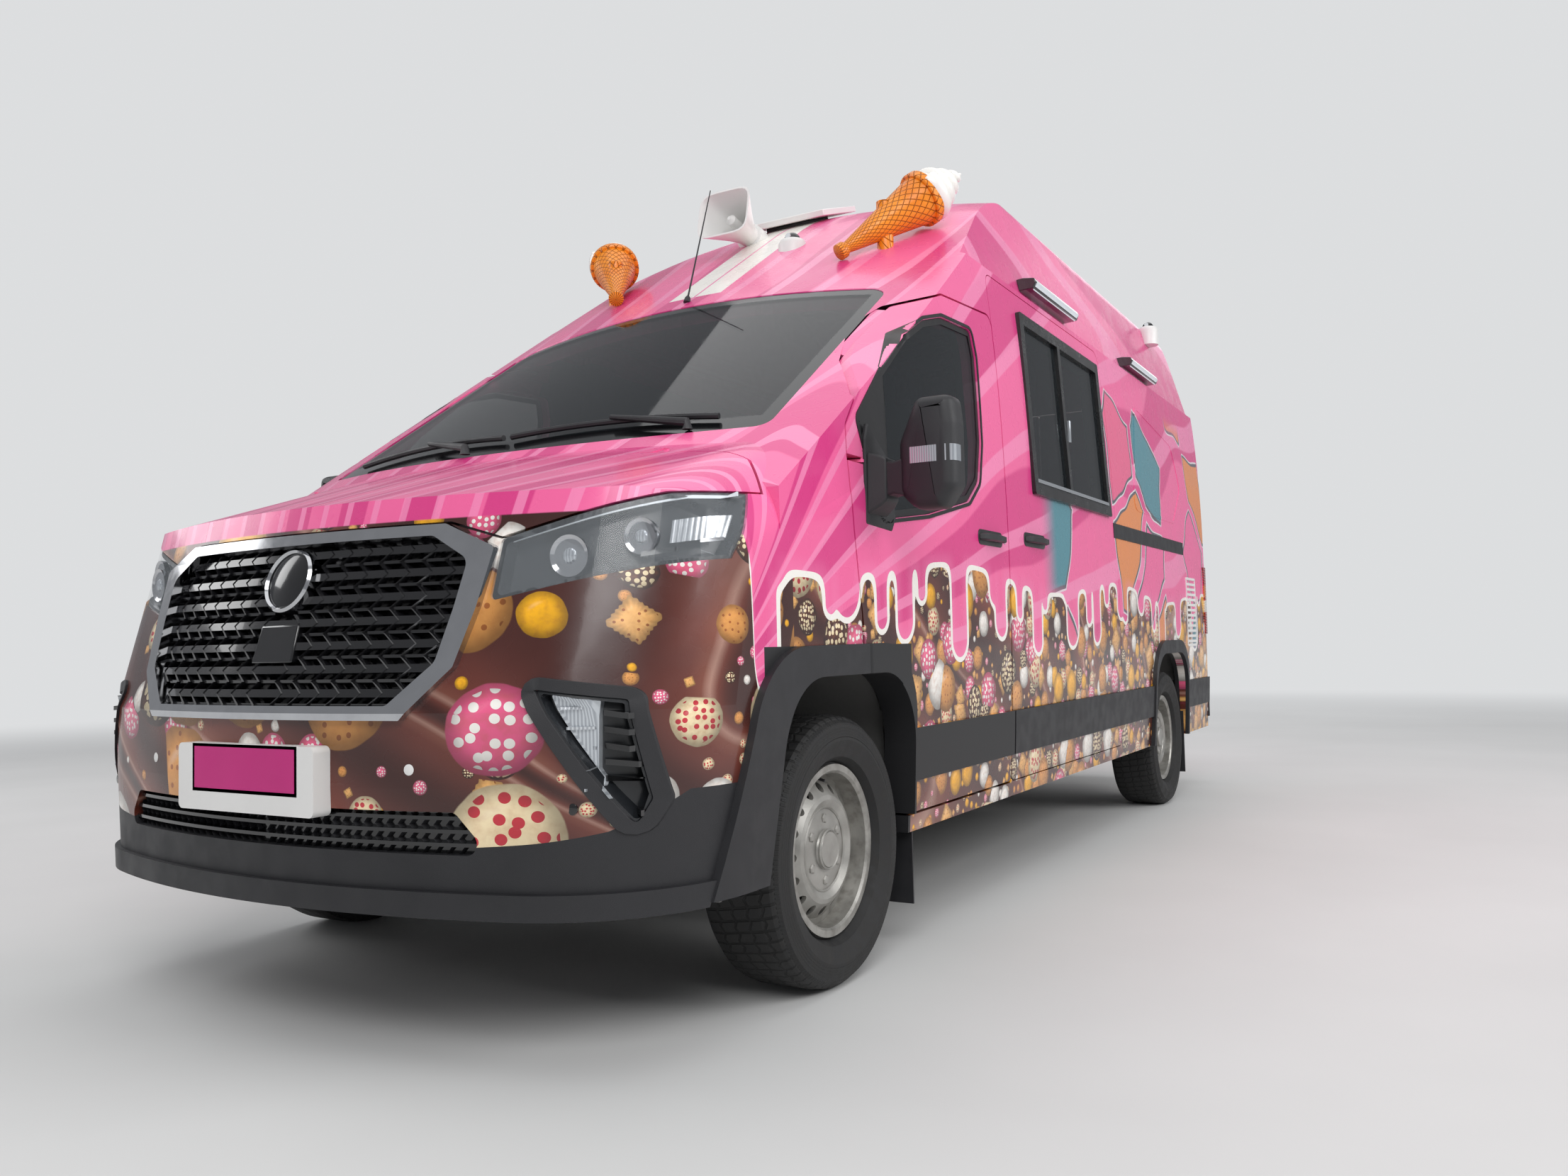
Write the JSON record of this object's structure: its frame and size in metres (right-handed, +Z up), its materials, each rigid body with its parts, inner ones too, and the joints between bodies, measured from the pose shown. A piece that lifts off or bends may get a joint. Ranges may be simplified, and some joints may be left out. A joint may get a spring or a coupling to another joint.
{
  "type": "ice cream truck",
  "caption": "High-roof panel van fitted out to sell ice cream, with a side serving window, roof cones and a printed sweets wrap.",
  "frame": {"origin": "centre of the overall box at ground level", "axes": "+X to the vehicle's left, -Y forwards, +Z up"},
  "size_m": [2.526, 5.97, 2.7999],
  "materials": {
    "body_paint": "printed film over gloss paint: pink above, chocolate brown with sweets below",
    "black_plastic": "fine-grained moulded plastic",
    "chrome_trim": "satin to bright plated",
    "white_plastic": "smooth moulded plastic",
    "orange_plastic": "moulded plastic with a waffle grid",
    "lamp_plastic": "dark lamp housing",
    "lamp_clear": "clear lamp cover",
    "tail_red": "red lamp cover",
    "window_glass": "tinted safety glass",
    "window_frame": "black powder coat",
    "floor_steel": "painted sheet",
    "frame_steel": "black chassis paint",
    "engine_iron": "cast surface",
    "cab_plastic": "grained plastic and dark cloth",
    "tyre_rubber": "road tyre rubber",
    "wheel_steel": "silver painted steel"
  },
  "bodies": {
    "van": {"body_shell": "body_paint", "roof_panel": "body_paint", "floor_pan": "floor_steel", "chassis_frame": "frame_steel", "engine_block": "engine_iron", "front_suspension": "frame_steel", "rear_axle": "frame_steel", "front_fenders": "body_paint", "front_bumper": "body_paint", "bumper_skirt": "black_plastic", "plate_holder": "white_plastic", "grille_surround": "chrome_trim", "grille_mesh": "black_plastic", "lamp_housings": "lamp_plastic", "headlamp_lenses": "lamp_clear", "windscreen": "window_glass", "sliding_door": "body_paint", "serving_window": "window_frame", "serving_glass": "window_glass", "body_trim": "black_plastic", "rear_bumper": "black_plastic", "tail_lamps": "tail_red", "cab_interior": "cab_plastic", "ice_cream_cones": "orange_plastic", "ice_cream_swirls": "white_plastic", "roof_fittings": "white_plastic"},
    "hood": {"hood": "body_paint"},
    "steering_wheel": {"steering_wheel": "cab_plastic"},
    "front_door_left": {"front_door_left": "body_paint", "door_glass_left": "window_glass", "mirror_left": "black_plastic"},
    "rear_door_left": {"rear_door_left": "body_paint"},
    "knuckle_left": {"knuckle_left": "frame_steel"},
    "wheel_front_left": {"tyre_front_left": "tyre_rubber", "rim_front_left": "wheel_steel"},
    "wheel_rear_left": {"tyre_rear_left": "tyre_rubber", "rim_rear_left": "wheel_steel"},
    "front_door_right": {"front_door_right": "body_paint", "door_glass_right": "window_glass", "mirror_right": "black_plastic"},
    "rear_door_right": {"rear_door_right": "body_paint"},
    "knuckle_right": {"knuckle_right": "frame_steel"},
    "wheel_front_right": {"tyre_front_right": "tyre_rubber", "rim_front_right": "wheel_steel"},
    "wheel_rear_right": {"tyre_rear_right": "tyre_rubber", "rim_rear_right": "wheel_steel"}
  },
  "joints": [
    {"name": "hood_hinge", "type": "hinge", "parent": "van", "child": "hood", "pos_m": [0, -2.24, 1.375], "axis": [-1, 0, 0], "range_deg": [0, 50]},
    {"name": "front_door_left_hinge", "type": "hinge", "parent": "van", "child": "front_door_left", "pos_m": [1.002, -1.815, 1.2], "axis": [0, 0, -1], "range_deg": [0, 62]},
    {"name": "rear_door_left_hinge", "type": "hinge", "parent": "van", "child": "rear_door_left", "pos_m": [0.884, 2.956, 1.3], "axis": [0, 0, -1], "range_deg": [0, 180]},
    {"name": "steer_left", "type": "hinge", "parent": "van", "child": "knuckle_left", "pos_m": [0.79, -1.94, 0.352], "axis": [0, 0, 1], "range_deg": [-35, 35]},
    {"name": "wheel_front_left_spin", "type": "hinge", "parent": "knuckle_left", "child": "wheel_front_left", "pos_m": [0.872, -1.94, 0.352], "axis": [1, 0, 0], "continuous": true},
    {"name": "wheel_rear_left_spin", "type": "hinge", "parent": "van", "child": "wheel_rear_left", "pos_m": [0.872, 1.82, 0.352], "axis": [1, 0, 0], "continuous": true},
    {"name": "front_door_right_hinge", "type": "hinge", "parent": "van", "child": "front_door_right", "pos_m": [-1.002, -1.815, 1.2], "axis": [0, 0, 1], "range_deg": [0, 62]},
    {"name": "rear_door_right_hinge", "type": "hinge", "parent": "van", "child": "rear_door_right", "pos_m": [-0.884, 2.956, 1.3], "axis": [0, 0, 1], "range_deg": [0, 180]},
    {"name": "steer_right", "type": "hinge", "parent": "van", "child": "knuckle_right", "pos_m": [-0.79, -1.94, 0.352], "axis": [0, 0, 1], "range_deg": [-35, 35]},
    {"name": "wheel_front_right_spin", "type": "hinge", "parent": "knuckle_right", "child": "wheel_front_right", "pos_m": [-0.872, -1.94, 0.352], "axis": [1, 0, 0], "continuous": true},
    {"name": "wheel_rear_right_spin", "type": "hinge", "parent": "van", "child": "wheel_rear_right", "pos_m": [-0.872, 1.82, 0.352], "axis": [1, 0, 0], "continuous": true},
    {"name": "steering_wheel_turn", "type": "hinge", "parent": "van", "child": "steering_wheel", "pos_m": [-0.45, -1.42, 1.18], "axis": [0, 0.8829, 0.4695], "range_deg": [-525, 525]}
  ],
  "couplings": [
    {"joint": "steer_right", "follows": "steer_left", "ratio": 1},
    {"joint": "steering_wheel_turn", "follows": "steer_left", "ratio": 15}
  ]
}
